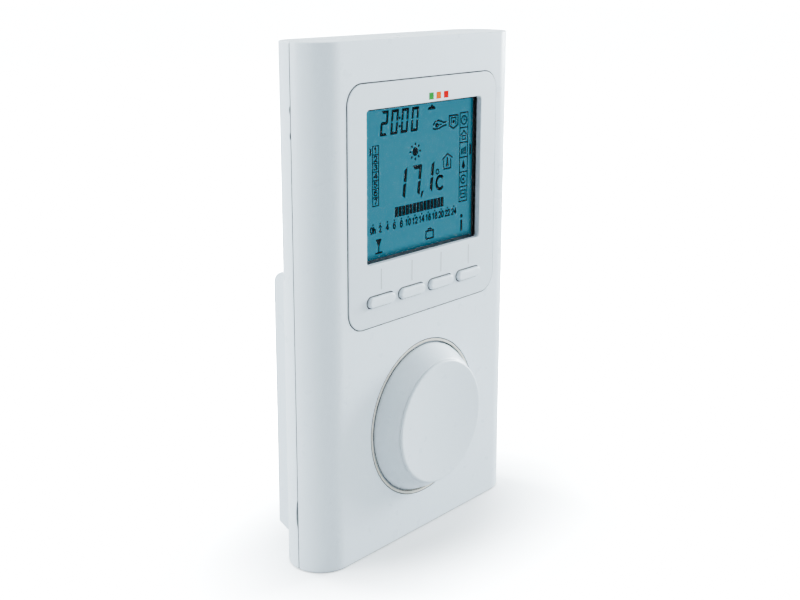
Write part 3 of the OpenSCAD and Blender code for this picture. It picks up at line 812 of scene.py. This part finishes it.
    # glass
    ink.shape([(-18.15, -13.75), (-15.85, -13.75), (-16.75, -15.7), (-17.15, -15.7)])
    ink.stroke([(-16.95, -15.5), (-16.95, -17.3)], 0.42)
    ink.stroke([(-18.15, -17.35), (-15.7, -17.35)], 0.46)
    # suitcase
    ink.frame_box(2.1, -17.0, 5.2, -14.95, 0.46)
    ink.stroke([(3.0, -14.9), (3.0, -14.35), (4.3, -14.35), (4.3, -14.9)], 0.40)
    # information
    ink.disc(17.52, -13.05, 0.52)
    ink.shape([(17.15, -14.15), (17.95, -14.15), (17.95, -17.25), (17.15, -17.25)])
    black = moulded("lcd_ink", (0.003, 0.006, 0.008), 0.6, 0.001 * MM, 0.1, ior=1.0)
    ink.make("display_picture", black)


def draw_fascia_print():
    """Grey lines above the keys, and three coloured marks above the display."""
    front, back = FASCIA_Y - PRINT_PROUD, FASCIA_Y + PRINT_PROUD
    half_w, low, high = 0.21, 72.25, 77.7
    grey = Ink(0, 0, front, back)
    for i in range(1, 5):
        lo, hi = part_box(f"button_{i}")
        x = (lo.x + hi.x) / 2 / MM + 0.3
        grey.shape([(x - half_w, low), (x + half_w, low), (x + half_w, high), (x - half_w, high)])
    grey.make("key_lines", moulded("print_grey", (0.40, 0.43, 0.46), 0.5, 0.001 * MM, 0.05))
    half_w, low, high = 0.97, 118.85, 120.65
    for name, x, colour in (
        ("mark_green", 1.72, (0.012, 0.21, 0.03)),
        ("mark_orange", 4.72, (0.62, 0.085, 0.0)),
        ("mark_red", 7.86, (0.46, 0.0, 0.004)),
    ):
        mark = Ink(0, 0, front, back)
        mark.shape([(x - half_w, low), (x + half_w, low), (x + half_w, high), (x - half_w, high)])
        mark.make(name, moulded("print_" + name, colour, 0.6, 0.001 * MM, 0.05, ior=1.0))


draw_display()
draw_fascia_print()

# ------------------------------------------------------------------ CAD nodes that stay

for part in frame["record"]["subparts"]:
    shown = nodes[part["node"]]
    shown.data.materials.clear()
    shown.data.materials.append(by_slot[part["material_slot"]])

# ------------------------------------------------------------------ stage


def add_floor():
    """A plain pale floor with a painted shadow, darker in an oval round the object's foot. The camera
    sees it brighter than the light it sends back to the object."""
    bm = bmesh.new()
    for x, y in ((-4, -4), (4, -4), (4, 4), (-4, 4)):
        bm.verts.new((x, y, cad_lo.z - 0.05 * MM))
    bm.verts.ensure_lookup_table()
    bm.faces.new(bm.verts)
    floor = add_object("floor", bm)
    material = bpy.data.materials.new("floor_white")
    material.use_nodes = True
    tree = material.node_tree
    tree.nodes.clear()
    out = tree.nodes.new("ShaderNodeOutputMaterial")
    seen, bounced = tree.nodes.new("ShaderNodeBsdfDiffuse"), tree.nodes.new("ShaderNodeBsdfDiffuse")
    bounced.inputs["Color"].default_value = (*FLOOR_BOUNCE, 1)
    place = tree.nodes.new("ShaderNodeTexCoord").outputs["Object"]
    oval_place = tree.nodes.new("ShaderNodeVectorMath")
    oval_place.operation = "MULTIPLY"
    oval_place.inputs[1].default_value = FLOOR_SHADE_SHAPE
    tree.links.new(place, oval_place.inputs[0])
    away = tree.nodes.new("ShaderNodeVectorMath")
    away.operation = "LENGTH"
    tree.links.new(oval_place.outputs[0], away.inputs[0])
    # Painted shadow: the floor the camera sees is darker towards the object's foot.
    tone = tree.nodes.new("ShaderNodeMapRange")
    tone.interpolation_type = "SMOOTHSTEP"
    tone.inputs["From Min"].default_value = FLOOR_SHADE_REACH[0]
    tone.inputs["From Max"].default_value = FLOOR_SHADE_REACH[1]
    tone.inputs["To Min"].default_value = FLOOR_SEEN_SHADOW_TO_PALE[0]
    tone.inputs["To Max"].default_value = FLOOR_SEEN_SHADOW_TO_PALE[1]
    tree.links.new(away.outputs["Value"], tone.inputs["Value"])
    tree.links.new(tone.outputs["Result"], seen.inputs["Color"])
    path = tree.nodes.new("ShaderNodeLightPath")
    mix = tree.nodes.new("ShaderNodeMixShader")
    tree.links.new(path.outputs["Is Camera Ray"], mix.inputs["Fac"])
    tree.links.new(bounced.outputs[0], mix.inputs[1])
    tree.links.new(seen.outputs[0], mix.inputs[2])
    tree.links.new(mix.outputs[0], out.inputs["Surface"])
    floor.data.materials.append(material)


def add_world():
    """A white studio: brighter beyond the object than on the photographer's side."""
    world = bpy.data.worlds.new("studio")
    bpy.context.scene.world = world
    world.use_nodes = True
    tree = world.node_tree
    tree.nodes.clear()
    out = tree.nodes.new("ShaderNodeOutputWorld")
    seen, light = tree.nodes.new("ShaderNodeBackground"), tree.nodes.new("ShaderNodeBackground")
    seen.inputs["Color"].default_value = (1, 1, 1, 1)
    seen.inputs["Strength"].default_value = BACKDROP
    light.inputs["Color"].default_value = (*SKY, 1)
    direction = tree.nodes.new("ShaderNodeTexCoord").outputs["Generated"]
    toward = tree.nodes.new("ShaderNodeVectorMath")
    toward.operation = "DOT_PRODUCT"
    toward.inputs[1].default_value = BRIGHT_SIDE
    tree.links.new(direction, toward.inputs[0])
    strength = tree.nodes.new("ShaderNodeMapRange")
    strength.inputs["From Min"].default_value = -1
    strength.inputs["To Min"].default_value = SKY_DIM
    strength.inputs["To Max"].default_value = SKY_BRIGHT
    tree.links.new(toward.outputs["Value"], strength.inputs["Value"])
    tree.links.new(strength.outputs["Result"], light.inputs["Strength"])
    path = tree.nodes.new("ShaderNodeLightPath")
    mix = tree.nodes.new("ShaderNodeMixShader")
    tree.links.new(path.outputs["Is Camera Ray"], mix.inputs["Fac"])
    tree.links.new(light.outputs[0], mix.inputs[1])
    tree.links.new(seen.outputs[0], mix.inputs[2])
    tree.links.new(mix.outputs[0], out.inputs["Surface"])


def add_softbox(name, at, size, power):
    """A rectangular lamp that faces the middle of the object."""
    data = bpy.data.lights.new(name, "AREA")
    data.shape = "RECTANGLE"
    data.size, data.size_y = size
    data.energy = power
    data.color = LAMP
    made = bpy.data.objects.new(name, data)
    bpy.context.scene.collection.objects.link(made)
    made.location = at
    made.rotation_mode = "QUATERNION"
    made.rotation_quaternion = (Vector(MIDDLE) - Vector(at)).to_track_quat("-Z", "Y")


# The floor's seen colour, from the painted shadow at the foot to the pale floor farther out, and the oval
# shape and reach of that painted shadow.
FLOOR_SEEN_SHADOW_TO_PALE = (0.95, 14.0)
FLOOR_SHADE_SHAPE = (0.56, 0.9, 1.0)
FLOOR_SHADE_REACH = (0.012, 0.080)
FLOOR_BOUNCE = (0.43, 0.445, 0.46)
BACKDROP = 20.0
SKY = (0.86, 0.96, 1.0)
SKY_DIM, SKY_BRIGHT = 0.45, 2.7
BRIGHT_SIDE = (0.763, 0.646, 0.0)
MIDDLE = (0, 0, HEIGHT / 2)
LAMP = (0.88, 0.96, 1.0)

add_floor()
add_world()
add_softbox("front_light", (0.40, -0.80, 0.28), (0.5, 0.8), 7.5)
add_softbox("rear_left_light", (-0.77, 0.50, 0.30), (0.5, 0.8), 21.0)
add_softbox("right_light", (0.95, -0.22, 0.24), (0.35, 0.35), 34.0)
add_softbox("beyond_light", (0.95, 0.34, 0.10), (0.45, 0.45), 14.0)
add_softbox("top_light", (-0.15, 0.80, 0.75), (0.4, 0.4), 16.0)
